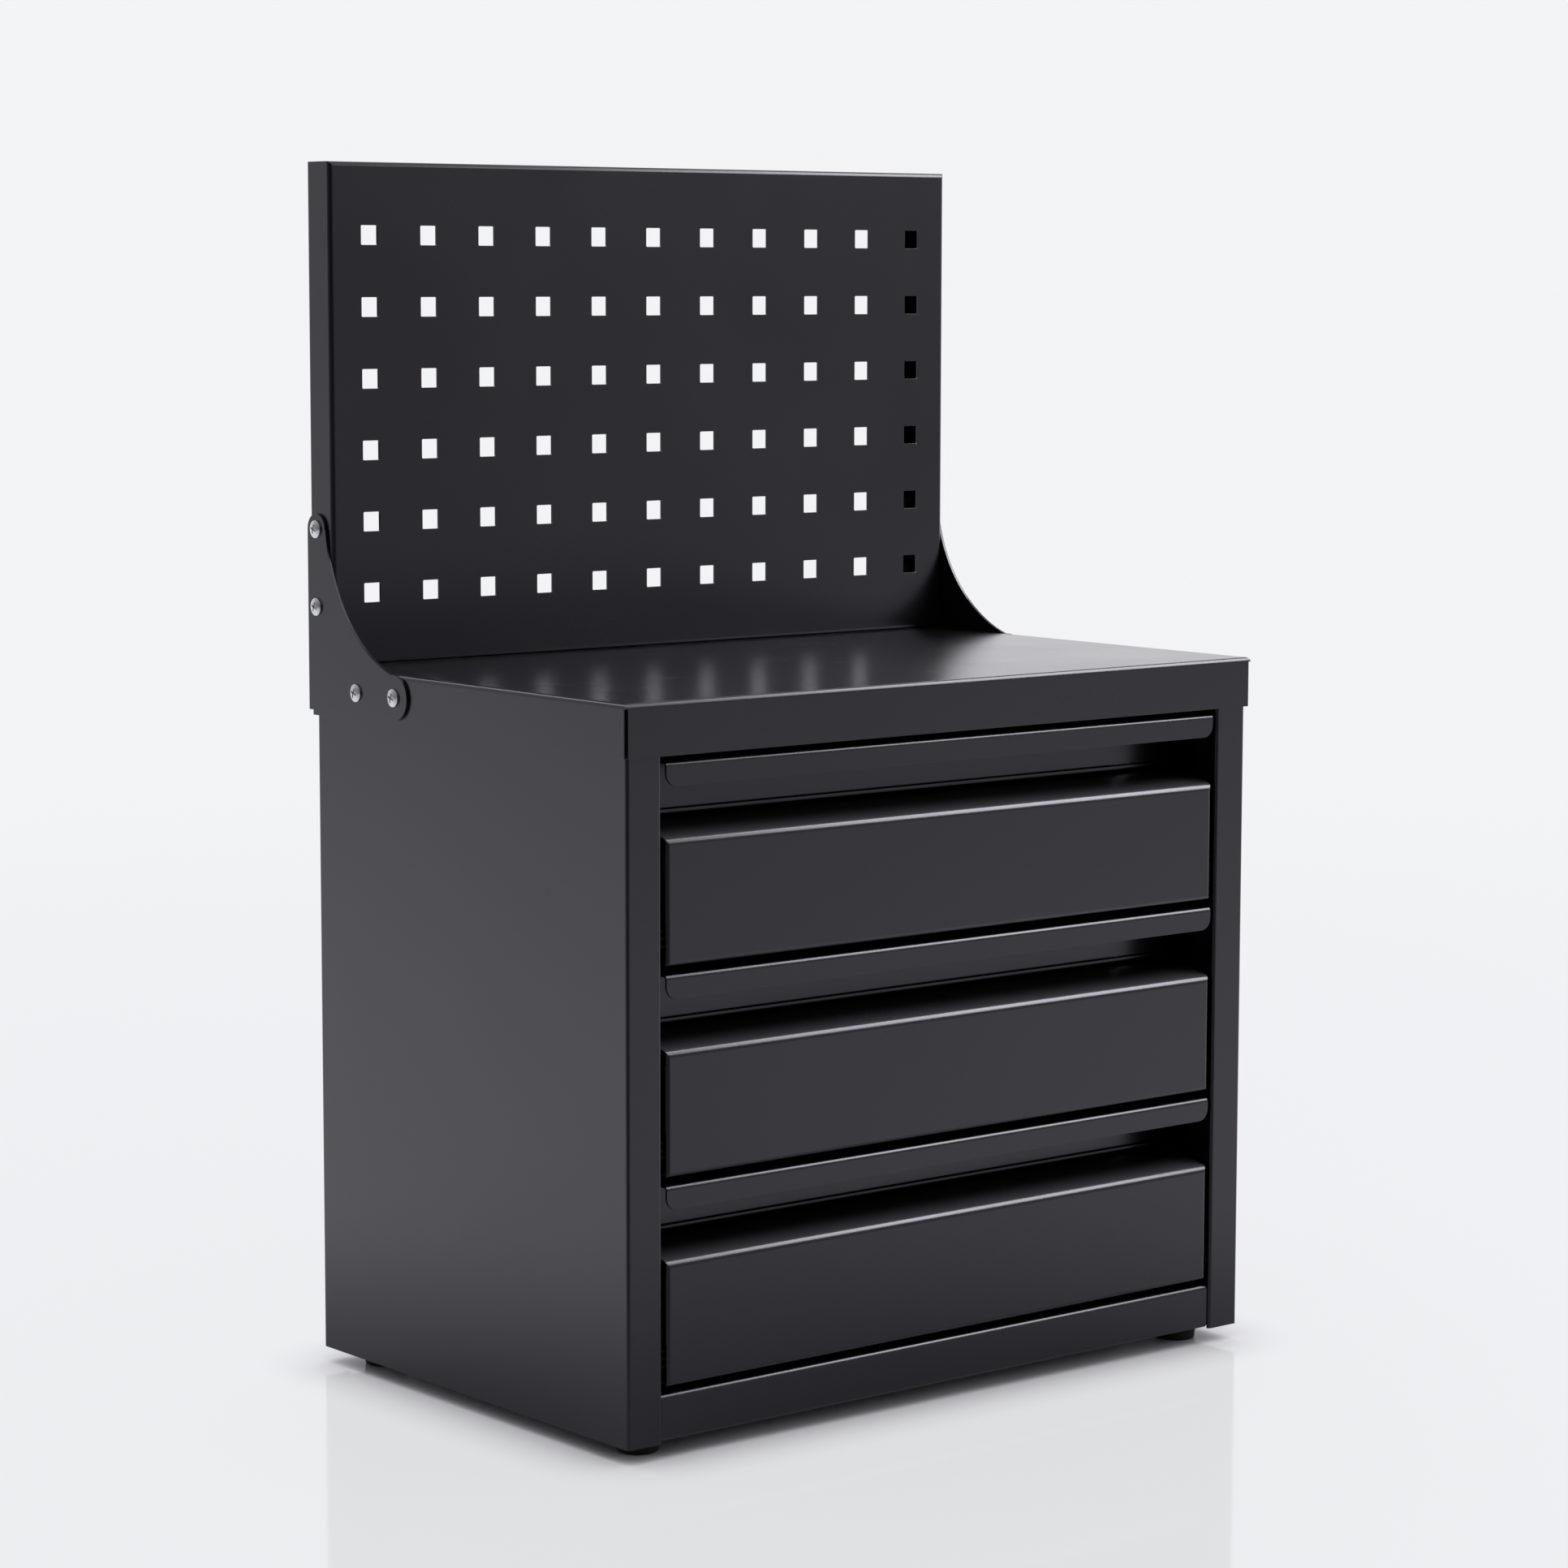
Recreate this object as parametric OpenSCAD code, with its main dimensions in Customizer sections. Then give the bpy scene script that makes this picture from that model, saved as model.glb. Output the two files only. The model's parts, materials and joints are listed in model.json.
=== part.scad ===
// Benchtop drawer cabinet with a pegboard standing on its back edge.
// Folded sheet steel throughout, with three drawers that have folded-in grips.
// X runs across the front, Y runs to the back and Z runs up. The origin is on
// the surface that the feet stand on, under the middle of the cabinet.

/* [Cabinet] */
// Width over the two side panels
body_w = 426; // [360:1:520]
// Depth from the front posts to the back flanges
body_d = 276; // [240:1:340]
// Thickness of the folded sheet
sheet = 1.2; // [1:0.1:1.5]
// Inside radius of the ordinary bends
bend_r = 1.2; // [0.9:0.1:1.5]
// Width of each front post
post_w = 21.5; // [18:0.5:30]
// Depth of the return behind each front post
post_return = 16; // [14:0.5:20]
// Inside radius of the bends at the two edges of a front post
post_bend_r = 0.6; // [0.5:0.1:1.5]
// Width of the flanges that hold the back panel
back_flange_w = 16; // [12:0.5:20]
// Height of the bottom front rail's top edge above the lower ends of the posts
front_rail_h = 25; // [20:0.5:40]
// How far the rail's face is set back behind the posts' faces
front_rail_set = 1.5; // [0:0.1:2]
// Height of the rail's lower edge above the lower ends of the posts
front_rail_lift = 0.5; // [0:0.1:1.4]
// Inside radius of the rail's rounded top edge
front_rail_r = 1.8; // [1:0.1:2.5]
// Height of the cabinet floor above the lower ends of the posts
floor_rise = 1.5; // [1:0.1:4]
// Height of the upturned flanges round the floor
floor_flange_h = 15; // [10:0.5:18]
// Depth of the rear stile's lip, which carries the rails
stile_lip = 16; // [14:0.5:20]
// Depth of the rear stile's flange on the side panel
stile_flange = 12; // [8:0.5:14]

/* [Top cover] */
// Height of the cover's skirt
skirt_h = 27; // [25:0.5:32]
// Gap between the skirt and the cabinet
cover_clear = 0.8; // [0.6:0.1:1.4]
// Width of the open seam at each corner of the skirt
seam_w = 0.3; // [0.2:0.1:0.8]

/* [Drawers] */
// Height of a drawer's flat front
front_h = 64; // [50:0.5:80]
// Height of the grip opening above the flat front
grip_h = 26; // [22:0.5:32]
// Height of the lip over the grip opening
lip_h = 12.5; // [11:0.5:18]
// Radius of the lip's lower corners
lip_corner_r = 6.5; // [2:0.5:8]
// Depth of the grip recess
recess_d = 36; // [28:0.5:44]
// Gap between the ledge and the band that hangs at the back of the recess
band_gap = 1.5; // [1.3:0.1:6]
// Depth of the band's forward curl
band_curl = 2.6; // [2.5:0.1:4]
// Inside radius of that curl
curl_r = 1; // [0.6:0.1:1.2]
// Rise of the ledge from the front edge to the back of the recess
ledge_rise = 6.5; // [3:0.5:8]
// Inside radius of the bend along the top of the flat front
front_edge_r = 2.8; // [1.5:0.1:3.5]
// Depth of the return under the flat front
front_return = 14; // [10:0.5:18]
// Depth of the returns at the two sides of the flat front
side_return = 10; // [6:0.5:14]
// Gap between a drawer and the post beside it
side_gap = 3; // [2:0.1:4]
// Gap between two drawers
drawer_gap = 4; // [3:0.1:6]
// Gap between the bottom drawer and the rail
gap_below = 3.5; // [2:0.1:6]
// Gap between the top drawer and the cover's skirt
gap_above = 3; // [2:0.1:6]
// Height of the tray's walls above the flat front's lower edge
tray_wall_h = 86; // [76:0.5:88]
// Height of the folded hem along the tray's sides
hem_h = 8; // [5:0.5:10]
// Depth of the flange of the tray's back under its floor
drawer_back_flange = 12; // [6:0.5:16]
// Space between the tray and the back panel
tray_back_clear = 22; // [18:0.5:40]
// How far a drawer pulls out
travel = 200; // [120:1:205]

/* [Runners] */
// Distance of the rails' front ends behind the posts' faces
rail_set = 5; // [2:0.5:8]
// Outside height of the C rail
rail_h = 9; // [8.5:0.5:12]
// Depth of the C rail, measured from the post towards the drawer
rail_w = 10; // [9.5:0.5:12]
// Thickness of the rail's steel
rail_t = 1.2; // [1:0.1:1.5]
// Height of the rail's middle above the drawer's lower edge
rail_rise = 13.5; // [12:0.5:16]
// Thickness of the runner angle
runner_t = 2; // [1.8:0.1:2.2]
// Height of the runner's upright leg
runner_leg_h = 20; // [17:0.5:24]
// Gap between the runner's upright leg and the rail
runner_gap = 1.5; // [1:0.1:2.5]
// Running clearance of the nylon glides
glide_clear = 0.3; // [0.2:0.05:0.5]
// Length of a glide
glide_l = 14; // [10:0.5:20]
// Length of the support pad at the front of a rail
pad_l = 18; // [12:0.5:20]

/* [Pegboard] */
// Height of the pegboard panel
peg_h = 267; // [220:1:380]
// Distance between neighbouring holes
peg_pitch = 38; // [25:0.5:50]
// Size of a square hole
peg_hole = 10.4; // [8:0.1:12]
// Size of the clipped corners of a hole
peg_corner = 0.4; // [0.3:0.1:1]
// Least distance from a hole's middle to the panel's side
peg_side_margin = 24; // [20:1:40]
// Least distance from a hole's middle to the panel's top and bottom
peg_end_margin = 36; // [24:1:60]
// Depth of the folded flange round the panel
peg_flange = 22; // [18:0.5:30]
// Width of the lip folded in behind the flange
peg_lip = 20; // [12:0.5:30]

/* [Brackets] */
// Thickness of the bracket plate
bracket_t = 1.5; // [1.2:0.1:4]
// Width of the bracket's upright strip
strip_w = 16.5; // [14:0.5:20]
// Height of the bracket's foot on the skirt
bracket_foot_h = 24; // [20:0.5:24.5]
// Height of the top screw above the cover
screw_high = 73; // [60:0.5:90]
// Height of the second screw above the cover
screw_low = 31.5; // [24:0.5:40]
// Distance of the foot's rear screw from the bracket's back edge
screw_near = 45.5; // [30:0.5:56]
// Distance of the foot's front screw from the bracket's back edge
screw_far = 80.5; // [70:0.5:100]
// Radius of the bracket's hollow edge
gusset_r = 85.5; // [70:0.5:110]
// Height of the middle of that hollow edge above the cover
gusset_rise = 82; // [70:0.5:95]

/* [Fasteners] */
// Diameter of the bracket screws
screw_d = 5; // [4:0.5:6]
// Diameter of the bracket screws' heads
screw_head_d = 9.5; // [8.5:0.5:12]
// Height of the bracket screws' heads
screw_head_h = 2.2; // [1.8:0.1:4]
// Thickness of the bracket nuts
nut_h = 4; // [3:0.1:5]
// Diameter of a rivet
rivet_d = 4; // [3:0.1:4.5]
// Diameter of a rivet's head
rivet_head_d = 6; // [5.2:0.1:6.4]
// Height of a rivet's head
rivet_head_h = 0.8; // [0.5:0.1:1]

/* [Feet] */
// Height from the table to the lower ends of the posts
foot_h = 8.5; // [7:0.5:14]
// Diameter of a foot at its top
foot_d = 23.6; // [20:0.5:28]
// How much narrower a foot is at its bottom
foot_taper = 1; // [0:0.1:3]
// Distance from the cabinet's corner to the middle of a foot
foot_inset = 24; // [18:0.5:32]
// Diameter of a foot's screw
foot_screw_d = 4; // [3:0.5:5]

/* [Hidden] */
$fn = 48;

// Small clearances
seat = 0.3;          // gap where one piece sits on another
hole_clear = 0.15;   // radial clearance of a rivet or screw in its hole
weld = 0.0005;       // overlap of a straight and a bend inside one sheet
beyond = 1;          // how far a cutter reaches past what it cuts
ledge_clear = 6;     // height from the tray's low sides up to the flat front's top

// Colours
black_paint = [0.17, 0.17, 0.185];
black_coat = [0.08, 0.08, 0.085];
zinc = [0.72, 0.73, 0.75];
nylon = [0.13, 0.13, 0.135];
rubber = [0.06, 0.06, 0.06];

// Places across the cabinet
side_x = body_w / 2;
open_x = side_x - post_w;
face_x = open_x - side_gap;
tray_x = open_x - rail_w - runner_gap - runner_t;
outer_r = sheet + bend_r;

// Places from front to back
front_y = -body_d / 2;
back_y = body_d / 2;
cover_w = body_w + 2 * (cover_clear + sheet);
cover_d = body_d + 2 * (cover_clear + sheet);
cover_back = cover_d / 2;
panel_back_y = back_y - 2 * sheet;
stile_y2 = panel_back_y - seat;
stile_y1 = stile_y2 - stile_flange;
stile_y0 = stile_y1 - stile_lip;
wall_y = front_y + recess_d;
tray_y1 = back_y - tray_back_clear;
foot_y = back_y - foot_inset;

// Heights
level_names = ["bottom", "middle", "top"];
levels = len(level_names);
base_z = foot_h;
unit_h = front_h + grip_h + lip_h;
stack_h = levels * unit_h + (levels - 1) * drawer_gap + gap_below + gap_above;
skirt_z = base_z + front_rail_h + stack_h;
cover_z = skirt_z + skirt_h;
wall_top = cover_z - sheet - seat;
floor_z = base_z + floor_rise;
stile_z0 = floor_z + floor_flange_h + seat;
stile_z1 = wall_top - sheet - 2 * seat;
function drawer_z(i) = base_z + front_rail_h + gap_below + i * (unit_h + drawer_gap);
function rail_z(i) = drawer_z(i) + rail_rise;

// Rails and runners
rail_y0 = front_y + rail_set;
rail_y1 = stile_y1;
rail_in = rail_h / 2 - rail_t;
runner_y1 = tray_y1 - 2;
runner_tip = open_x - rail_t - rivet_head_h - 2 * seat;
glide_y1 = runner_y1 - 2;
glide_y0 = glide_y1 - glide_l;
stop_y = glide_y0 - travel - seat;
front_rivet_y = front_y + post_return - rivet_head_d / 2 - seat;
rear_rivet_y = stile_y0 + stile_lip / 2;

// Rivets that hold the back panel and the runners
back_rivet_x = side_x - back_flange_w / 2 - sheet / 2;
back_rivet_n = 4;
runner_rivet_n = 3;
runner_rivet_rise = runner_leg_h - rivet_head_d / 2 - 1;
function spread(a, b, n) = [for (i = [0:n-1]) a + (b - a) * (i + 0.5) / n];
back_rivet_z = spread(floor_z, wall_top, back_rivet_n);
runner_rivet_y = spread(wall_y + 2 * sheet, runner_y1, runner_rivet_n);

// Bracket screws, as [distance forward of the back edge, height above the cover]
foot_mid = -bracket_foot_h / 2;
upper_screws = [[strip_w / 2, screw_high], [strip_w / 2, screw_low]];
lower_screws = [[screw_near, foot_mid], [screw_far, foot_mid]];

// Pegboard grid
peg_w = cover_w;
peg_cols = floor((peg_w - 2 * peg_side_margin) / peg_pitch) + 1;
peg_rows = floor((peg_h - 2 * peg_end_margin) / peg_pitch) + 1;
peg_z0 = cover_z + seat;

// ---------------------------------------------------------------- sheet metal

function unit(v) = v / norm(v);
function left_of(v) = [-v[1], v[0]];
function turn(a, b) = a[0] * b[1] - a[1] * b[0];

// Section of a folded sheet. path holds the corners of its middle line, t is
// its thickness and r holds one inside radius, or a list of one for each bend.
module folded(path, t, r) {
    n = len(path);
    radii = is_list(r) ? r : [for (i = [1:n-2]) r];
    u = [for (i = [0:n-2]) unit(path[i+1] - path[i])];
    mid = [for (i = [0:n-1]) i == 0 || i == n-1 ? 0 : radii[i-1] + t / 2];
    trim = [for (i = [0:n-1]) mid[i] == 0 ? 0 : mid[i] * tan(acos(u[i-1] * u[i]) / 2) - weld];
    for (i = [0:n-2])
        translate(path[i]) rotate(atan2(u[i][1], u[i][0])) translate([trim[i], -t / 2])
            square([norm(path[i+1] - path[i]) - trim[i] - trim[i+1], t]);
    for (i = [1:n-2])
        bend(path[i], u[i-1], u[i], t, radii[i-1]);
}

// One bend of that section, at corner p, between the directions u and v
module bend(p, u, v, t, r) {
    mid = r + t / 2;
    side = sign(turn(u, v));
    c = p - u * mid * tan(acos(u * v) / 2) + left_of(u) * mid * side;
    a = -left_of(u) * side;
    b = -left_of(v) * side;
    reach = 2 * (r + t);
    wedge = [c, c + a * reach, c + unit(a + b) * reach, c + b * reach];
    intersection() {
        translate(c) difference() {
            circle(r + t);
            circle(r);
        }
        polygon(side > 0 ? wedge : [wedge[0], wedge[3], wedge[2], wedge[1]]);
    }
}

// Lays a section drawn in Y and Z along X, from x0 to x1
module along_x(x0, x1) {
    translate([x0, 0, 0]) rotate([90, 0, 90]) linear_extrude(x1 - x0) children();
}

// Lays a section drawn in X and Z along Y, from y0 to y1
module along_y(y0, y1) {
    translate([0, y1, 0]) rotate([90, 0, 0]) linear_extrude(y1 - y0) children();
}

// Lays a section drawn in X and Y along Z, from z0 to z1
module along_z(z0, z1) {
    translate([0, 0, z0]) linear_extrude(z1 - z0) children();
}

// Puts a piece on the left and its mirror image on the right
module both_sides() {
    children();
    mirror([1, 0, 0]) children();
}

// Rectangle from a to b, with radius r0 at its lower and r1 at its upper corners
module soft_rect(a, b, r0, r1) {
    translate([a[0], a[1] + r0]) square([b[0] - a[0], b[1] - a[1] - r0 - r1]);
    soft_end(a[0], b[0], a[1], r0, 1);
    soft_end(a[0], b[0], b[1], r1, -1);
}

// The rounded lower or upper end of that rectangle
module soft_end(x0, x1, y, r, up) {
    if (r > 0) {
        translate([x0 + r, up > 0 ? y : y - r]) square([x1 - x0 - 2 * r, r]);
        for (x = [x0 + r, x1 - r])
            translate([x, y + up * r]) circle(r);
    }
}

// Tray folded from sheet: floor at z = 0, open above, rounded where it folds
module pan(w, d, h) {
    difference() {
        pan_block(w, d, h, 0, outer_r);
        pan_block(w - 2 * sheet, d - 2 * sheet, h + beyond, sheet, bend_r);
    }
}

module pan_block(w, d, h, z, r) {
    intersection() {
        along_y(-d / 2, d / 2) soft_rect([-w / 2, z], [w / 2, h], r, 0);
        along_x(-w / 2, w / 2) soft_rect([-d / 2, z], [d / 2, h], r, 0);
    }
}

// Round bar along X, from x0 to x1
module bar_x(x0, x1, d, y, z) {
    translate([x0, y, z]) rotate([0, 90, 0]) cylinder(d = d, h = x1 - x0);
}

// Round bar along Y, from y0 to y1
module bar_y(y0, y1, d, x, z) {
    translate([x, y0, z]) rotate([-90, 0, 0]) cylinder(d = d, h = y1 - y0);
}

// ---------------------------------------------------------------- cabinet

// The left side panel: back flange, side, front post and the post's return
module side_panel() {
    half = sheet / 2;
    color(black_paint) difference() {
        along_z(base_z, wall_top) folded([
            [-side_x + back_flange_w, back_y - half],
            [-side_x + half, back_y - half],
            [-side_x + half, front_y + half],
            [-open_x - half, front_y + half],
            [-open_x - half, front_y + post_return]], sheet, [bend_r, post_bend_r, post_bend_r]);
        // the return stops short of the floor, over the foot
        translate([-open_x - sheet - beyond, front_y + sheet + post_bend_r, base_z - beyond])
            cube([sheet + 2 * beyond, post_return, beyond + floor_rise + seat]);
        side_holes();
    }
}

// Holes in a side panel for the rails, the back panel and the bracket screws
module side_holes() {
    for (i = [0:levels-1])
        bar_x(-open_x - sheet - beyond, -open_x + beyond, rivet_d + 2 * hole_clear, front_rivet_y, rail_z(i));
    for (z = back_rivet_z)
        bar_y(back_y - sheet - beyond, back_y + beyond, rivet_d + 2 * hole_clear, -back_rivet_x, z);
    for (s = lower_screws)
        bar_x(-side_x - beyond, -side_x + sheet + beyond, screw_d + 4 * hole_clear,
            cover_back - s[0], cover_z + s[1]);
}

module back_panel() {
    mid = panel_back_y + sheet / 2;
    top = wall_top - sheet / 2 - seat;
    width = side_x - outer_r - seat;
    color(black_paint) difference() {
        along_x(-width, width) folded([
            [mid, floor_z],
            [mid, top],
            [mid - stile_flange, top]], sheet, bend_r);
        both_sides() for (z = back_rivet_z)
            bar_y(panel_back_y - beyond, back_y, rivet_d + 2 * hole_clear, -back_rivet_x, z);
    }
}

module bottom_panel() {
    y0 = front_y + post_return + seat;
    y1 = panel_back_y - seat;
    color(black_paint) difference() {
        translate([0, (y0 + y1) / 2, floor_z])
            pan(body_w - 2 * (sheet + seat), y1 - y0, floor_flange_h);
        at_feet() translate([0, 0, floor_z - beyond])
            cylinder(d = foot_screw_d + 4 * hole_clear, h = sheet + 2 * beyond);
    }
}

// The rail under the drawers, between the posts, with its round top edge. Its
// lower flange stops short of the feet and of the cabinet's floor.
module front_rail() {
    y0 = front_y + front_rail_set + sheet / 2;
    y1 = front_y + post_return - sheet / 2;
    flange_y = min(front_y + post_return, -foot_y - foot_d / 2 - seat);
    z0 = base_z + front_rail_lift + sheet / 2;
    z1 = base_z + front_rail_h - sheet / 2;
    color(black_paint) along_x(-open_x + seat, open_x - seat)
        folded([[flange_y, z0], [y0, z0], [y0, z1], [y1, z1], [y1, (z0 + z1) / 2]],
            sheet, [bend_r, front_rail_r, bend_r]);
}

// The channel that ties the posts together behind the cover's skirt
module top_crossmember() {
    y0 = front_y + 2 * sheet;
    y1 = front_y + post_return;
    z0 = skirt_z + gap_above;
    z1 = wall_top - sheet / 2;
    color(black_paint) along_x(-open_x + seat, open_x - seat)
        folded([[y1, z0], [y0, z0], [y0, z1], [y1, z1]], sheet, bend_r);
}

// The left upright that carries the rear ends of the rails
module rear_stile() {
    half = sheet / 2;
    color(black_paint) difference() {
        along_z(stile_z0, stile_z1) folded([
            [-open_x - half, stile_y0],
            [-open_x - half, stile_y1],
            [-side_x + sheet + half, stile_y1],
            [-side_x + sheet + half, stile_y2]], sheet, bend_r);
        for (i = [0:levels-1])
            bar_x(-open_x - sheet - beyond, -open_x + beyond, rivet_d + 2 * hole_clear, rear_rivet_y, rail_z(i));
    }
}

// The cover, a tray folded downwards, its skirt open at each corner
module top_cover() {
    corner = beyond + sheet + seam_w;
    color(black_paint) difference() {
        translate([0, 0, cover_z]) mirror([0, 0, 1]) pan(cover_w, cover_d, skirt_h);
        both_sides() {
            for (back = [0, 1]) mirror([0, back, 0])
                translate([-cover_w / 2 - beyond, -cover_back - beyond, skirt_z - beyond])
                    cube([corner, corner, skirt_h + beyond - outer_r]);
            for (s = lower_screws)
                bar_x(-cover_w / 2 - beyond, -cover_w / 2 + sheet + beyond, screw_d + 4 * hole_clear,
                    cover_back - s[0], cover_z + s[1]);
        }
    }
}

// ---------------------------------------------------------------- pegboard

// Square hole with clipped corners
module peg_hole_outline() {
    h = peg_hole / 2;
    k = h - peg_corner;
    polygon([[-k, -h], [k, -h], [h, -k], [h, k], [k, h], [-k, h], [-h, k], [-h, -k]]);
}

// Block with every long edge of the panel's rim rounded, inset by t
module peg_block(t) {
    y0 = cover_back - peg_flange + t;
    y1 = cover_back - t;
    z0 = peg_z0 + t;
    z1 = peg_z0 + peg_h - t;
    r = outer_r - t;
    intersection() {
        along_z(z0, z1) soft_rect([-peg_w / 2 + t, y0], [peg_w / 2 - t, y1], r, r);
        along_x(-peg_w / 2, peg_w / 2) soft_rect([y0, z0], [y1, z1], r, r);
    }
}

module pegboard_panel() {
    x0 = -(peg_cols - 1) / 2 * peg_pitch;
    z0 = peg_z0 + peg_h / 2 - (peg_rows - 1) / 2 * peg_pitch;
    plate_y = cover_back - peg_flange;
    color(black_paint) difference() {
        peg_block(0);
        peg_block(sheet);
        // the open back, inside the folded lips
        translate([-peg_w / 2 + peg_lip, cover_back - sheet - beyond, peg_z0 + peg_lip])
            cube([peg_w - 2 * peg_lip, sheet + 2 * beyond, peg_h - 2 * peg_lip]);
        along_y(plate_y - beyond, plate_y + sheet + beyond)
            for (i = [0:peg_cols-1], j = [0:peg_rows-1])
                translate([x0 + i * peg_pitch, z0 + j * peg_pitch]) peg_hole_outline();
        both_sides() for (s = upper_screws)
            bar_x(-peg_w / 2 - beyond, -peg_w / 2 + sheet + beyond, screw_d + 4 * hole_clear,
                cover_back - s[0], cover_z + s[1]);
    }
}

// ---------------------------------------------------------------- brackets

// Outline of the gusset bracket: forward of its back edge, and above the cover
module bracket_outline() {
    difference() {
        union() {
            difference() {
                translate([0, -bracket_foot_h]) square([screw_far, bracket_foot_h + screw_high]);
                translate([strip_w + gusset_r, gusset_rise]) circle(gusset_r, $fn = 180);
            }
            translate(upper_screws[0]) circle(strip_w / 2);
            translate(lower_screws[1]) circle(bracket_foot_h / 2);
        }
        for (s = concat(upper_screws, lower_screws))
            translate(s) circle(d = screw_d + 4 * hole_clear);
    }
}

module bracket() {
    color(black_paint) along_x(-cover_w / 2 - bracket_t, -cover_w / 2)
        translate([cover_back, cover_z]) mirror([1, 0]) bracket_outline();
}

// Domed screw with a cross recess, its head's seat at x = 0, pointing along +X
module pan_screw(len) {
    rim = screw_head_h * 0.4;
    cap = screw_head_h - rim;
    dome_r = (pow(screw_head_d / 2, 2) + cap * cap) / (2 * cap);
    arm = screw_head_d * 0.27;
    slot_w = 0.9;
    slot_deep = screw_head_h * 0.6;
    difference() {
        union() {
            rotate([0, 90, 0]) cylinder(d = screw_d, h = len);
            rotate([0, -90, 0]) rotate_extrude() intersection() {
                translate([0, screw_head_h - dome_r]) circle(dome_r, $fn = 96);
                square([screw_head_d / 2, screw_head_h]);
            }
        }
        for (a = [0, 90]) rotate([a + 20, 0, 0])
            translate([-screw_head_h - beyond, -arm, -slot_w / 2])
                cube([beyond + slot_deep, 2 * arm, slot_w]);
    }
}

module at_left_screw(s) {
    translate([-cover_w / 2 - bracket_t, cover_back - s[0], cover_z + s[1]]) children();
}

module bracket_screws() {
    through_flange = bracket_t + sheet + nut_h + 1;
    through_side = through_flange + cover_clear + sheet;
    color(zinc) both_sides() {
        for (s = upper_screws) at_left_screw(s) pan_screw(through_flange);
        for (s = lower_screws) at_left_screw(s) pan_screw(through_side);
    }
}

// Hexagon nut, its seat at x = 0, pointing along +X
module hex_nut(d, h) {
    rotate([0, 90, 0]) difference() {
        cylinder(d = 1.85 * d, h = h, $fn = 6);
        translate([0, 0, -beyond]) cylinder(d = d + 2 * hole_clear, h = h + 2 * beyond);
    }
}

module bracket_nuts() {
    behind_flange = bracket_t + sheet;
    behind_side = behind_flange + cover_clear + sheet;
    color(zinc) both_sides() {
        for (s = upper_screws) at_left_screw(s) translate([behind_flange, 0, 0]) hex_nut(screw_d, nut_h);
        for (s = lower_screws) at_left_screw(s) translate([behind_side, 0, 0]) hex_nut(screw_d, nut_h);
    }
}

// ---------------------------------------------------------------- rivets

// Rivet through a stack of thickness grip, from x = 0 along +X, a head at each end
module rivet(grip) {
    head_x = [-rivet_head_h, grip];
    rotate([0, 90, 0]) cylinder(d = rivet_d, h = grip);
    for (x = head_x) translate([x, 0, 0]) rotate([0, 90, 0]) cylinder(d = rivet_head_d, h = rivet_head_h);
}

module back_rivets() {
    color(black_paint) both_sides() for (z = back_rivet_z)
        translate([-back_rivet_x, back_y, z]) rotate([0, 0, -90]) rivet(2 * sheet);
}

module rail_rivets() {
    color(zinc) both_sides() for (i = [0:levels-1], y = [front_rivet_y, rear_rivet_y])
        translate([-open_x - sheet, y, rail_z(i)]) rivet(sheet + rail_t);
}

// ---------------------------------------------------------------- feet

module at_feet() {
    for (x = [-1, 1], y = [-1, 1])
        translate([x * (side_x - foot_inset), y * foot_y, 0]) children();
}

foot_top = foot_h + floor_rise;
foot_well = foot_top / 2;
foot_edge = 1.2;

module feet() {
    r1 = foot_d / 2;
    r0 = r1 - foot_taper;
    bore = foot_screw_d / 2 + 2 * hole_clear;
    well = foot_screw_d + 1.2;
    color(rubber) at_feet() rotate_extrude() polygon(concat(
        [for (a = [-90:15:0]) [r0 - foot_edge + foot_edge * cos(a), foot_edge + foot_edge * sin(a)]],
        [[r1, foot_top], [bore, foot_top], [bore, foot_well], [well, foot_well], [well, 0]]));
}

module foot_screws() {
    head = foot_screw_d * 0.95;
    color(zinc) at_feet() {
        translate([0, 0, foot_well])
            cylinder(d = foot_screw_d, h = foot_top - foot_well + sheet + foot_screw_d);
        translate([0, 0, foot_well - foot_screw_d * 0.6])
            cylinder(r = head, h = foot_screw_d * 0.6);
    }
}

module foot_nuts() {
    color(zinc) at_feet() translate([0, 0, foot_top + sheet]) rotate([0, -90, 0])
        hex_nut(foot_screw_d, foot_screw_d * 0.8);
}

// ---------------------------------------------------------------- rails

// The left C rail of drawer i, with the stop that halts the runner's glide
module rail(i) {
    z = rail_z(i);
    half = rail_h / 2 - rail_t / 2;
    web = -open_x + rail_t / 2;
    lip = -open_x + rail_w;
    tab_z = runner_t / 2 + glide_clear;
    color(black_coat) difference() {
        union() {
            along_y(rail_y0, rail_y1)
                folded([[lip, z + half], [web, z + half], [web, z - half], [lip, z - half]], rail_t, rail_t / 2);
            translate([-runner_tip, stop_y - rail_t, z + tab_z])
                cube([lip + runner_tip, rail_t, half - tab_z]);
        }
        for (y = [front_rivet_y, rear_rivet_y])
            bar_x(-open_x - beyond, -open_x + rail_t + beyond, rivet_d + 2 * hole_clear, y, z);
    }
}

// Pads that carry the runners at the front of the rails
module rail_pads() {
    y0 = rail_y0 + 1;
    h = rail_in - runner_t / 2 - glide_clear;
    color(nylon) both_sides() for (i = [0:levels-1])
        along_x(-runner_tip, -open_x + rail_w) translate([y0, rail_z(i) - rail_in])
            polygon([[0, 0], [pad_l, 0], [pad_l - h, h], [h, h]]);
}

// ---------------------------------------------------------------- drawers

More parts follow.
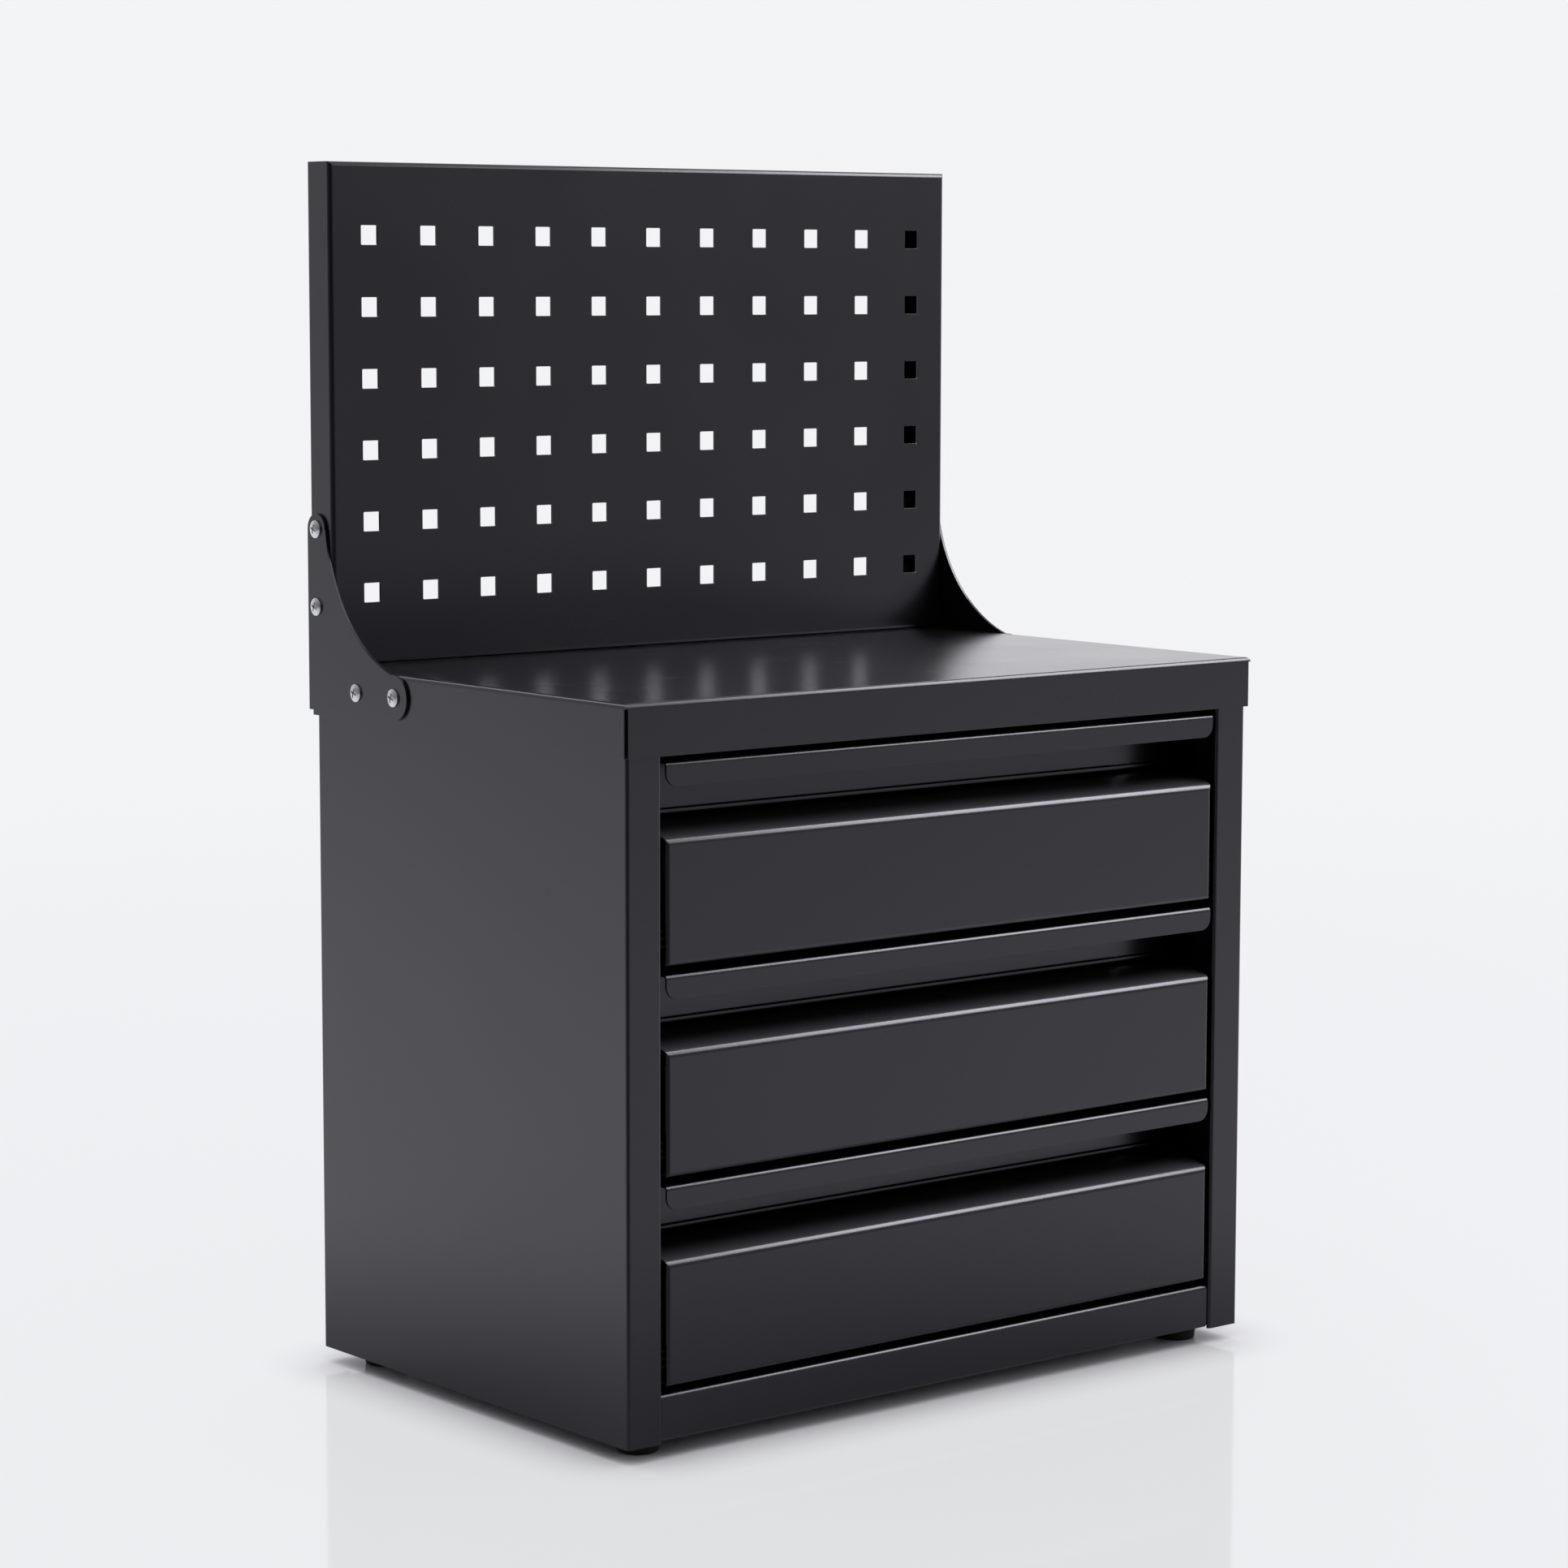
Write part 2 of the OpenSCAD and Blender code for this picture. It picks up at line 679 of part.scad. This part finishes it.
// The flat front, its ledge and the wall behind the recess, folded from one sheet
module drawer_front(i) {
    z = drawer_z(i);
    half = sheet / 2;
    flange_z0 = rail_rise + rail_h / 2 + 4;
    flange_z1 = front_h - 8;
    path = [[front_y + front_return, z + half],
        [front_y + half, z + half],
        [front_y + half, z + front_h - half],
        [wall_y + half, z + front_h + ledge_rise],
        [wall_y + half, z + unit_h - sheet - seat]];
    color(black_paint) intersection() {
        union() {
            along_x(-face_x, face_x) folded(path, sheet, [bend_r, front_edge_r, bend_r]);
            both_sides() along_z(z + flange_z0, z + flange_z1) folded([
                [-face_x + half, front_y + side_return],
                [-face_x + half, front_y + half],
                [-face_x + 2 * side_return, front_y + half]], sheet, bend_r);
        }
        // rounds the upright edges at both ends of the flat front
        along_z(z - beyond, z + unit_h + beyond)
            soft_rect([-face_x, front_y], [face_x, wall_y + 2 * sheet], outer_r, 0);
    }
}

// The grip: lip, top plate and hanging band, folded from one strip
module drawer_handle(i) {
    z = drawer_z(i);
    half = sheet / 2;
    top = z + unit_h - half;
    lip_z = z + unit_h - lip_h;
    band_z = z + front_h + ledge_rise + band_gap + sheet;
    color(black_paint) difference() {
        along_x(-face_x, face_x) folded([
            [front_y + half, lip_z],
            [front_y + half, top],
            [wall_y - half, top],
            [wall_y - half, band_z],
            [wall_y - half - band_curl, band_z]], sheet, [bend_r, bend_r, curl_r]);
        both_sides() difference() {
            translate([-face_x - beyond, front_y - beyond, lip_z - beyond])
                cube([lip_corner_r + beyond, sheet + 2 * beyond, lip_corner_r + beyond]);
            bar_y(front_y - 2 * beyond, front_y + sheet + 2 * beyond, 2 * lip_corner_r,
                -face_x + lip_corner_r, lip_z + lip_corner_r);
        }
    }
}

// The tray's floor and sides, one sheet folded to a channel with a hem on each
// side. Under the ledge its sides are low.
module drawer_tray(i) {
    half = sheet / 2;
    z0 = drawer_z(i) + sheet + half;
    z1 = drawer_z(i) + tray_wall_h;
    low = drawer_z(i) + front_h - ledge_clear;
    y0 = front_y + outer_r + seat;
    y_up = wall_y + sheet + seat;
    y1 = tray_y1 - outer_r;
    color(black_paint) difference() {
        union() {
            along_y(y0, y1) folded([
                [-tray_x + half, z1],
                [-tray_x + half, z0],
                [tray_x - half, z0],
                [tray_x - half, z1]], sheet, bend_r);
            both_sides() translate([-tray_x - sheet, y_up, z1 - hem_h])
                cube([sheet + weld, y1 - y_up, hem_h]);
        }
        translate([-tray_x - beyond, y0 - beyond, low])
            cube([2 * (tray_x + beyond), y_up - y0 + beyond, z1 + beyond - low]);
        both_sides() for (y = runner_rivet_y)
            bar_x(-tray_x - beyond, -tray_x + sheet + beyond, rivet_d + 2 * hole_clear,
                y, rail_z(i) + runner_rivet_rise);
    }
}

// The tray's back, a plate with a flange turned forward under the floor
module drawer_back(i) {
    z0 = drawer_z(i) + sheet / 2 - seat;
    y = tray_y1 - sheet / 2;
    color(black_paint) along_x(-tray_x, tray_x) folded([
        [tray_y1 - drawer_back_flange, z0],
        [y, z0],
        [y, drawer_z(i) + tray_wall_h]], sheet, bend_r);
}

// The left runner of drawer i: an angle with its lower leg inside the rail
module runner(i) {
    z = rail_z(i);
    x = -tray_x - runner_t / 2;
    color(black_coat) difference() {
        along_y(rail_y0, runner_y1)
            folded([[x, z + runner_leg_h], [x, z], [-runner_tip, z]], runner_t, runner_t / 2);
        for (y = runner_rivet_y)
            bar_x(-tray_x - runner_t - beyond, -tray_x + beyond, rivet_d + 2 * hole_clear,
                y, z + runner_rivet_rise);
    }
}

// The nylon glides clipped on the rear ends of both runners of drawer i
module runner_glides(i) {
    z = rail_z(i);
    h = rail_in - glide_clear;
    x0 = -runner_tip - seat;
    color(nylon) both_sides() difference() {
        translate([x0, glide_y0, z - h]) cube([-open_x + rail_w - seat - x0, glide_l, 2 * h]);
        translate([-runner_tip, glide_y0 - beyond, z - runner_t / 2])
            cube([rail_w, glide_l + 2 * beyond, runner_t]);
    }
}

module runner_rivets(i) {
    color(zinc) both_sides() for (y = runner_rivet_y)
        translate([-tray_x - runner_t, y, rail_z(i) + runner_rivet_rise]) rivet(runner_t + sheet);
}

side_panel();  // left_side_panel
mirror([1, 0, 0]) side_panel();  // right_side_panel
back_panel();
bottom_panel();
front_rail();
top_crossmember();
rear_stile();  // left_rear_stile
mirror([1, 0, 0]) rear_stile();  // right_rear_stile
top_cover();
pegboard_panel();
bracket();  // left_bracket
mirror([1, 0, 0]) bracket();  // right_bracket
bracket_screws();
bracket_nuts();
back_rivets();
rail_rivets();
feet();
foot_screws();
foot_nuts();
rail_pads();
for (i = [0:levels-1]) {
    level = level_names[i];
    rail(i);
    mirror([1, 0, 0]) rail(i);
    drawer_front(i);
    drawer_handle(i);
    drawer_tray(i);
    drawer_back(i);
    runner(i);
    mirror([1, 0, 0]) runner(i);
    runner_glides(i);
    runner_rivets(i);
}
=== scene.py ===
"""Benchtop drawer cabinet with a pegboard: the finish of its pieces, the studio and the camera.

Metres throughout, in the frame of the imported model: X across the front, Y to the back, Z up.
"""
import json
import math

import bpy
from mathutils import Matrix, Vector

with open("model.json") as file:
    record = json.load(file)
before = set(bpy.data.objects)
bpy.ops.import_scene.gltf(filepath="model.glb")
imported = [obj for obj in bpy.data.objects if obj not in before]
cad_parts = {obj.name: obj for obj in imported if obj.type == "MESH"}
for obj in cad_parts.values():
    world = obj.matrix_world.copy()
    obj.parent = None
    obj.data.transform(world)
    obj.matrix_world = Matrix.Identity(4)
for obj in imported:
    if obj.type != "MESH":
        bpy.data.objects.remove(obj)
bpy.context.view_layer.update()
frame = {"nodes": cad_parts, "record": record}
scene = bpy.context.scene

# ---------------------------------------------------------------- driving values

# Camera, fitted to the photograph
IMAGE_SIDE = 1932
FOCAL_PIXELS = 5336.5
SENSOR = 36.0
CAMERA_PLACE = (-1.4807, -1.8184, 0.5910)
CAMERA_YAW = 0.68288
CAMERA_PITCH = 0.11715
CAMERA_ROLL = 0.00176
# Distances between which the camera sees
CLIP_RANGE = (0.05, 50.0)

# Studio: what the camera sees behind everything, and the tint of what lights the cabinet
BACKDROP = (0.893, 0.898, 0.914)
WORLD_TINT = (0.985, 0.985, 1.03)
# Radiance of the surroundings, as the camera looks at the cabinet: behind it, to the
# left, to the right and on the camera's side, at the horizon and below it; then overhead
AT_HORIZON = (1.24, 0.34, 0.45, 0.05)
BELOW_HORIZON = (1.00, 1.10, 0.98, 0.16)
OVERHEAD = 0.60
# Heights, as sines, over which the radiance below passes into that at the horizon, and
# over which that passes into the radiance overhead
HORIZON_BAND = (-0.17, -0.05)
OVERHEAD_BAND = (0.2, 0.8)
# A glow low on the right: what it adds, the way to its middle, and the cosines of the
# angles to that way at its edge and at its middle
RIGHT_GLOW = 0.50
GLOW_WAY = (0.98, 0.17, 0.1)
GLOW_BAND = (0.80, 1.0)
# Softboxes: place, what they face, the way their length runs, width, length, radiance
SOFTBOXES = {
    "long_softbox": ((1.38, -0.74, 1.58), (0.0, -0.14, 0.35), (0.0, 0.84, 0.55), 0.55, 1.65, 9.0),
    "rear_softbox": ((-0.25, 1.65, 1.75), (-0.1, 0.0, 0.38), (1.0, 0.0, 0.0), 0.6, 0.7, 3.0),
}
FLOOR_RADIUS = 3.4
FLOOR_CORNERS = 96
# Distances over which the floor passes into the backdrop, as seen and in reflections
FLOOR_FADE = (0.8, 2.8)
REFLECTED_FADE = (0.20, 0.65)
FLOOR_WHITE = (0.89, 0.885, 0.915)
FLOOR_GLOSS = 0.09
GLOSS_ROUGHNESS = 0.08
# Share of the backdrop's tone in the floor as the camera sees it
FLOOR_LIFT = 0.84
# Contact shadow: how near the cabinet that share falls off, and the openness of the
# sky over which it does
CONTACT_REACH = 0.045
CONTACT_BAND = (0.35, 0.9)

# Finishes: the band that most values of a noise lie in, and the powder coat's reflection
NOISE_BAND = (0.3, 0.7)
COAT_IOR = 1.6
COAT_TINT = (0.92, 0.885, 1.0)
# Share of painted light on the drawers' ledges, a pale colour on their faces that look up, and the
# Y over which it thins out to the back, where the recess lies in shade
LEDGE_PAINTED_LIGHT = 0.13
PAINTED_LIGHT_ENDS = (-0.138, -0.117)
# Colour of that painted light
PAINTED_LIGHT_COLOUR = (0.52, 0.50, 0.56)
# Bare steel of the slides' cut front ends, and the normal's Y over which it comes in
CUT_STEEL = (0.42, 0.42, 0.43)
CUT_BAND = (-0.90, -0.98)


# ---------------------------------------------------------------- node helpers

def node(tree, kind, inputs=None, **settings):
    """Adds a shader node; an input is a value, or a socket to link it to."""
    made = tree.nodes.new("ShaderNode" + kind)
    for key, value in settings.items():
        setattr(made, key, value)
    for key, value in (inputs or {}).items():
        if isinstance(value, bpy.types.NodeSocket):
            tree.links.new(value, made.inputs[key])
        else:
            made.inputs[key].default_value = value
    return made


def maths(tree, operation, a, b):
    """Result of an operation on two values."""
    return node(tree, "Math", {0: a, 1: b}, operation=operation).outputs[0]


def spread(tree, value, low, high, to_low, to_high, smooth=False):
    """Maps value from low..high to to_low..to_high."""
    made = node(tree, "MapRange", {"Value": value, "From Min": low, "From Max": high,
                                   "To Min": to_low, "To Max": to_high})
    if smooth:
        made.interpolation_type = "SMOOTHSTEP"
    return made.outputs[0]


def mixed(tree, factor, low, high):
    """Value between low and high, by factor."""
    made = node(tree, "Mix", {"Factor": factor, "A": low, "B": high}, data_type="FLOAT")
    return made.outputs["Result"]


def noise(tree, place, size, detail):
    """Noise whose features are about size metres wide."""
    made = node(tree, "TexNoise", {"Vector": place, "Scale": 1.0 / size, "Detail": detail})
    return made.outputs["Fac"]


def blend(tree, factor, low, high):
    """Colour between low and high, by factor."""
    made = node(tree, "Mix", data_type="RGBA")
    tree.links.new(factor, made.inputs["Factor"])
    for key, value in (("A", low), ("B", high)):
        socket = [s for s in made.inputs if s.name == key and s.type == "RGBA"][0]
        if isinstance(value, bpy.types.NodeSocket):
            tree.links.new(value, socket)
        else:
            socket.default_value = (*value, 1.0)
    return [s for s in made.outputs if s.type == "RGBA"][0]


def surface(name):
    """A new material: its tree, its shader and the coordinates that move with the piece."""
    made = bpy.data.materials.new(name)
    made.use_nodes = True
    tree = made.node_tree
    place = node(tree, "TexCoord").outputs["Object"]
    return made, tree, tree.nodes["Principled BSDF"], place


def component(tree, vector, axis):
    """A vector's part along an axis."""
    return node(tree, "SeparateXYZ", {"Vector": vector}).outputs[axis]


def facing(tree, axis):
    """How far the face looks along an axis, from -1 to 1."""
    return component(tree, node(tree, "NewGeometry").outputs["True Normal"], axis)


def finish_surface(tree, shader, colour, roughness, height, depth, edge):
    """Links colour, roughness and relief.

    depth is how deep the relief goes and edge how far edges are softened, both in metres.
    """
    rounded = node(tree, "Bevel", {"Radius": edge}, samples=4).outputs[0]
    bump = node(tree, "Bump", {"Height": height, "Distance": depth, "Strength": 1.0,
                               "Normal": rounded})
    tree.links.new(colour, shader.inputs["Base Color"])
    tree.links.new(roughness, shader.inputs["Roughness"])
    tree.links.new(bump.outputs[0], shader.inputs["Normal"])


# ---------------------------------------------------------------- materials

def powder_coat(name="powder_coat", dust_and_painted_light=0.0):
    """Satin black powder coat: a fine orange peel, with a slow drift in tone and gloss.

    The last argument is how much pale painted light lies on the faces that look up, near their
    front edge; it thins out to the back, where the recess lies in shade.
    """
    made, tree, shader, place = surface(name)
    peel = noise(tree, place, size=0.0016, detail=1.0)
    grain = noise(tree, place, size=0.00045, detail=1.0)
    drift = noise(tree, place, size=0.11, detail=3.0)
    colour = blend(tree, drift, low=(0.0018, 0.0017, 0.0026), high=(0.0034, 0.0032, 0.0046))
    speckled = spread(tree, grain, 0.58, 0.75, 0.0, 0.35)
    colour = blend(tree, speckled, low=colour, high=(0.014, 0.0135, 0.0175))
    # Painted light: a pale colour on faces that look up near the front edge, thinning out to the
    # back, in place of the light that falls into the grip recess
    if dust_and_painted_light:
        painted_light_mask = maths(tree, "MULTIPLY",
                      spread(tree, facing(tree, "Z"), 0.3, 0.95, 0.0, dust_and_painted_light, smooth=True),
                      spread(tree, component(tree, place, "Y"), *PAINTED_LIGHT_ENDS, 1.0, 0.0, smooth=True))
        colour = blend(tree, painted_light_mask, low=colour, high=PAINTED_LIGHT_COLOUR)
    roughness = maths(tree, "ADD", spread(tree, drift, *NOISE_BAND, 0.22, 0.26),
                      spread(tree, grain, *NOISE_BAND, -0.02, 0.02))
    height = maths(tree, "ADD", peel, spread(tree, grain, 0.0, 1.0, 0.0, 0.35))
    shader.inputs["IOR"].default_value = COAT_IOR
    shader.inputs["Specular Tint"].default_value = (*COAT_TINT, 1.0)
    finish_surface(tree, shader, colour, roughness, height, depth=0.000012, edge=0.00025)
    return made


def black_coat():
    """Thin black electrocoat on slide steel: rubbed along Y, and bare on cut front ends."""
    made, tree, shader, place = surface("black_coat")
    stretched = node(tree, "Mapping", {"Vector": place, "Scale": (1.0, 0.04, 1.0)}).outputs[0]
    rubbed = noise(tree, stretched, size=0.0012, detail=3.0)
    cloud = noise(tree, place, size=0.02, detail=3.0)
    wear = spread(tree, rubbed, 0.60, 0.74, 0.0, 0.7)
    colour = blend(tree, wear, low=(0.0085, 0.0085, 0.0095), high=(0.075, 0.075, 0.08))
    cut = spread(tree, facing(tree, "Y"), *CUT_BAND, 0.0, 1.0)
    colour = blend(tree, cut, low=colour, high=CUT_STEEL)
    tree.links.new(cut, shader.inputs["Metallic"])
    roughness = maths(tree, "ADD", spread(tree, cloud, *NOISE_BAND, 0.30, 0.38),
                      spread(tree, rubbed, 0.4, 0.7, 0.0, 0.06))
    finish_surface(tree, shader, colour, roughness, rubbed, depth=0.000006, edge=0.0002)
    return made


def zinc():
    """Bright zinc plating, with the faint clouding and scuffs of small fasteners."""
    made, tree, shader, place = surface("zinc")
    cloud = noise(tree, place, size=0.004, detail=3.0)
    scuff = noise(tree, place, size=0.0006, detail=2.0)
    colour = blend(tree, cloud, low=(0.50, 0.51, 0.54), high=(0.68, 0.68, 0.69))
    roughness = maths(tree, "ADD", spread(tree, cloud, *NOISE_BAND, 0.20, 0.30),
                      spread(tree, scuff, 0.4, 0.8, 0.0, 0.10))
    shader.inputs["Metallic"].default_value = 1.0
    finish_surface(tree, shader, colour, roughness, scuff, depth=0.000008, edge=0.0002)
    return made


def nylon():
    """Dark grey moulded nylon, a little mottled."""
    made, tree, shader, place = surface("nylon")
    mottle = noise(tree, place, size=0.003, detail=3.0)
    colour = blend(tree, mottle, low=(0.014, 0.014, 0.015), high=(0.024, 0.024, 0.025))
    roughness = spread(tree, mottle, *NOISE_BAND, 0.38, 0.50)
    finish_surface(tree, shader, colour, roughness, mottle, depth=0.00002, edge=0.0003)
    return made


def rubber():
    """Matt black moulded rubber with a fine grain and a trace of dust."""
    made, tree, shader, place = surface("rubber")
    grain = noise(tree, place, size=0.0007, detail=3.0)
    # Here the noise is real dust, a pale tone at random
    dust_and_painted_light = noise(tree, place, size=0.012, detail=4.0)
    dusty_and_painted_light = spread(tree, dust_and_painted_light, 0.45, 0.75, 0.0, 1.0)
    colour = blend(tree, dusty_and_painted_light, low=(0.0040, 0.0040, 0.0043), high=(0.0120, 0.0115, 0.0110))
    roughness = spread(tree, grain, *NOISE_BAND, 0.62, 0.80)
    finish_surface(tree, shader, colour, roughness, grain, depth=0.00004, edge=0.0004)
    return made


def dress():
    """Gives every CAD node the finish of its slot in the record."""
    finishes = {"powder_coat": powder_coat(), "black_coat": black_coat(), "zinc": zinc(),
                "nylon": nylon(), "rubber": rubber()}
    # The drawer fronts take the powder coat with painted light on their ledges
    dusty_and_painted_light = powder_coat("powder_coat_painted_light", LEDGE_PAINTED_LIGHT)
    for part in frame["record"]["subparts"]:
        name = part["node"]
        slots = frame["nodes"][name].data.materials
        slots.clear()
        slots.append(dusty_and_painted_light if name.startswith("drawer_front") else finishes[part["material_slot"]])


# ---------------------------------------------------------------- studio

def studio_world():
    """Pale surroundings: brightest behind the cabinet, darkest on the camera's side."""
    world = bpy.data.worlds.new("studio")
    world.use_nodes = True
    scene.world = world
    tree = world.node_tree
    direction = node(tree, "TexCoord").outputs["Generated"]
    near = Vector((CAMERA_PLACE[0], CAMERA_PLACE[1], 0.0)).normalized()
    right = Vector((-near.y, near.x, 0.0))

    def along(way):
        made = node(tree, "VectorMath", {0: direction, 1: way}, operation="DOT_PRODUCT")
        return made.outputs["Value"]

    def around(behind, left, right_side, near_side):
        """Radiance that changes smoothly between the four sides."""
        middle = (left + right_side) / 2
        depth = spread(tree, along(near), -1.0, 0.0, behind - middle, 0.0)
        front = spread(tree, along(near), 0.0, 1.0, 0.0, near_side - middle)
        across = spread(tree, along(right), -1.0, 1.0, left, right_side)
        return maths(tree, "ADD", across, maths(tree, "ADD", depth, front))

    height = along(Vector((0.0, 0.0, 1.0)))
    glow = spread(tree, along(Vector(GLOW_WAY).normalized()), *GLOW_BAND, 0.0, RIGHT_GLOW,
                  smooth=True)
    level = maths(tree, "ADD", around(*AT_HORIZON), glow)
    risen = spread(tree, height, *HORIZON_BAND, 0.0, 1.0, smooth=True)
    low = mixed(tree, risen, around(*BELOW_HORIZON), level)
    high = spread(tree, height, *OVERHEAD_BAND, 0.0, 1.0, smooth=True)
    whole = mixed(tree, high, low, OVERHEAD)
    lit = node(tree, "CombineColor", {key: maths(tree, "MULTIPLY", whole, tint)
                                      for key, tint in zip(("Red", "Green", "Blue"), WORLD_TINT)})
    seen = node(tree, "LightPath").outputs["Is Camera Ray"]
    background = tree.nodes["Background"]
    tree.links.new(blend(tree, seen, lit.outputs[0], BACKDROP), background.inputs["Color"])
    background.inputs["Strength"].default_value = 1.0


def softboxes(ground):
    """Area lamps that draw the bright lines along the bends.

    The ground neither takes their light nor mirrors them.
    """
    unlit = bpy.data.collections.new("unlit")
    unlit.objects.link(ground)
    unlit.collection_objects[0].light_linking.link_state = "EXCLUDE"
    for name, (place, target, run, width, length, radiance) in SOFTBOXES.items():
        lamp = bpy.data.lights.new(name, "AREA")
        lamp.shape = "RECTANGLE"
        lamp.size = width
        lamp.size_y = length
        lamp.energy = radiance * math.pi * width * length
        holder = bpy.data.objects.new(name, lamp)
        scene.collection.objects.link(holder)
        back = (Vector(place) - Vector(target)).normalized()
        up = (Vector(run) - Vector(run).dot(back) * back).normalized()
        turned = Matrix((up.cross(back), up, back)).transposed().to_4x4()
        holder.matrix_world = Matrix.Translation(place) @ turned
        holder.visible_camera = False
        holder.light_linking.receiver_collection = unlit


def floor():
    """Pale floor with a faint gloss and a contact shadow, which passes into the backdrop."""
    rim = [(FLOOR_RADIUS * math.cos(a), FLOOR_RADIUS * math.sin(a), 0.0)
           for a in (math.tau * i / FLOOR_CORNERS for i in range(FLOOR_CORNERS))]
    mesh = bpy.data.meshes.new("floor")
    mesh.from_pydata(rim, [], [tuple(range(len(rim)))])
    piece = bpy.data.objects.new("floor", mesh)
    scene.collection.objects.link(piece)
    made = bpy.data.materials.new("floor")
    made.use_nodes = True
    tree = made.node_tree
    tree.nodes.remove(tree.nodes["Principled BSDF"])
    place = node(tree, "TexCoord").outputs["Object"]
    distance = node(tree, "VectorMath", {0: place}, operation="LENGTH").outputs["Value"]
    seen = node(tree, "LightPath").outputs["Is Camera Ray"]
    away = mixed(tree, seen, spread(tree, distance, *REFLECTED_FADE, 0.0, 1.0, smooth=True),
                 spread(tree, distance, *FLOOR_FADE, 0.0, 1.0, smooth=True))
    backdrop = node(tree, "Emission", {"Color": (*BACKDROP, 1.0), "Strength": 1.0}).outputs[0]
    paint = node(tree, "BsdfDiffuse", {"Color": (*FLOOR_WHITE, 1.0)}).outputs[0]
    open_sky = node(tree, "AmbientOcclusion", {"Distance": CONTACT_REACH}, samples=4).outputs["AO"]
    lift = maths(tree, "MULTIPLY", seen, spread(tree, open_sky, *CONTACT_BAND, 0.0, FLOOR_LIFT))
    paint = node(tree, "MixShader", {0: lift, 1: paint, 2: backdrop}).outputs[0]
    gloss = node(tree, "BsdfGlossy", {"Color": (1.0, 1.0, 1.0, 1.0),
                                      "Roughness": GLOSS_ROUGHNESS}).outputs[0]
    near = node(tree, "MixShader", {0: FLOOR_GLOSS, 1: paint, 2: gloss}).outputs[0]
    open_air = node(tree, "BsdfTransparent").outputs[0]
    far = node(tree, "MixShader", {0: seen, 1: open_air, 2: backdrop}).outputs[0]
    whole = node(tree, "MixShader", {0: away, 1: near, 2: far}).outputs[0]
    tree.links.new(whole, tree.nodes["Material Output"].inputs["Surface"])
    mesh.materials.append(made)
    return piece


def camera():
    """The photograph's viewpoint, from its fitted place, yaw, pitch and roll."""
    forward = Vector((math.sin(CAMERA_YAW) * math.cos(CAMERA_PITCH),
                      math.cos(CAMERA_YAW) * math.cos(CAMERA_PITCH), -math.sin(CAMERA_PITCH)))
    level = Vector((math.cos(CAMERA_YAW), -math.sin(CAMERA_YAW), 0.0))
    upright = level.cross(forward)
    right = math.cos(CAMERA_ROLL) * level + math.sin(CAMERA_ROLL) * upright
    up = math.cos(CAMERA_ROLL) * upright - math.sin(CAMERA_ROLL) * level
    data = bpy.data.cameras.new("camera")
    data.sensor_width = SENSOR
    data.lens = SENSOR * FOCAL_PIXELS / IMAGE_SIDE
    data.clip_start, data.clip_end = CLIP_RANGE
    holder = bpy.data.objects.new("camera", data)
    scene.collection.objects.link(holder)
    turned = Matrix((right, up, -forward)).transposed().to_4x4()
    holder.matrix_world = Matrix.Translation(CAMERA_PLACE) @ turned
    scene.camera = holder


dress()
studio_world()
softboxes(floor())
camera()
scene.view_settings.view_transform = "Standard"
